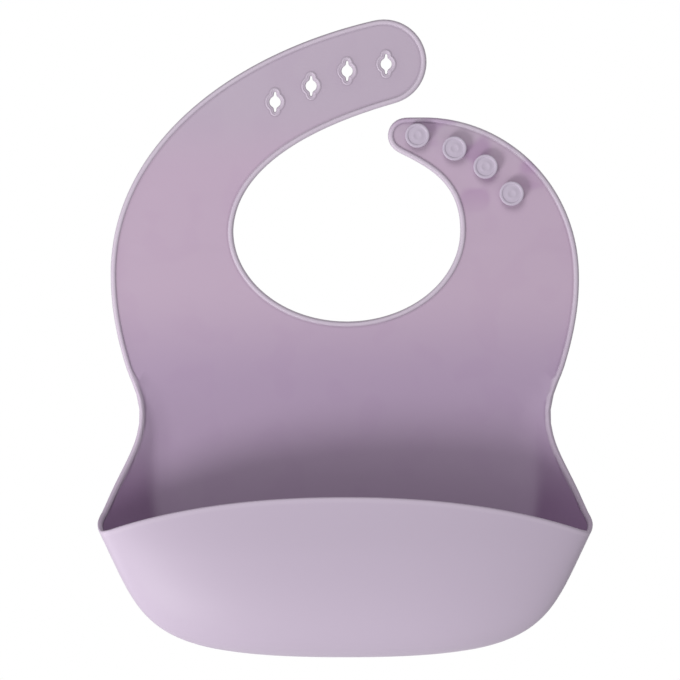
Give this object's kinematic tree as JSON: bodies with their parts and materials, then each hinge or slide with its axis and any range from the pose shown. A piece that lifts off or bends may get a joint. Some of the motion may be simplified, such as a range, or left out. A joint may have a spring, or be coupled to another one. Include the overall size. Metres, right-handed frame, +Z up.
{
  "type": "silicone bib",
  "caption": "Soft one-piece bib with a deep catch pocket, a long slotted strap and a short studded strap that button behind the neck.",
  "frame": {"origin": "middle of the neck opening, on the flat back face", "axes": "+Z up as worn, front faces -Y, +X to the right seen from the front"},
  "size_m": [0.2334, 0.05, 0.3003],
  "materials": {
    "silicone_sheet": "satin lilac silicone",
    "silicone_edge": "satin lilac silicone, thicker and paler",
    "silicone_pocket": "satin lilac silicone",
    "silicone_stud": "satin lilac silicone"
  },
  "bodies": {
    "apron": {"apron_panel": "silicone_sheet", "neckline_bead": "silicone_edge", "left_side_bead": "silicone_edge", "right_side_bead": "silicone_edge"},
    "slot_strap_base": {"slot_strap": "silicone_sheet", "slot_strap_inner_bead": "silicone_edge", "slot_strap_outer_bead": "silicone_edge"},
    "slot_strap_end": {"slot_tab": "silicone_sheet", "slot_tab_bead": "silicone_edge", "slot_collar_1": "silicone_edge", "slot_collar_2": "silicone_edge", "slot_collar_3": "silicone_edge", "slot_collar_4": "silicone_edge"},
    "stud_strap_base": {"stud_strap": "silicone_sheet", "stud_strap_bead": "silicone_edge", "stud_1": "silicone_stud", "stud_2": "silicone_stud", "stud_3": "silicone_stud", "stud_4": "silicone_stud"},
    "pocket_bowl": {"pocket_front_wall": "silicone_pocket", "pocket_left_wall": "silicone_pocket", "pocket_right_wall": "silicone_pocket", "pocket_floor": "silicone_pocket", "pocket_rim_bead": "silicone_edge"}
  },
  "joints": [
    {"name": "slot_strap_bend", "type": "hinge", "parent": "apron", "child": "slot_strap_base", "pos_m": [-0.08, -0.00075, 0], "axis": [-1, 0, 0], "range_deg": [-30, 80], "stiffness_Nm_per_rad": 0.04},
    {"name": "slot_tab_bend", "type": "hinge", "parent": "slot_strap_base", "child": "slot_strap_end", "pos_m": [-0.054, -0.00075, 0.0395], "axis": [-0.7071, 0, 0.7071], "range_deg": [-20, 60], "stiffness_Nm_per_rad": 0.03},
    {"name": "stud_strap_bend", "type": "hinge", "parent": "apron", "child": "stud_strap_base", "pos_m": [0.08, -0.00075, 0], "axis": [-1, 0, 0], "range_deg": [-30, 80], "stiffness_Nm_per_rad": 0.04},
    {"name": "pocket_open", "type": "hinge", "parent": "apron", "child": "pocket_bowl", "pos_m": [0, 0, -0.182], "axis": [1, 0, 0], "range_deg": [0, 12], "stiffness_Nm_per_rad": 1.5}
  ]
}
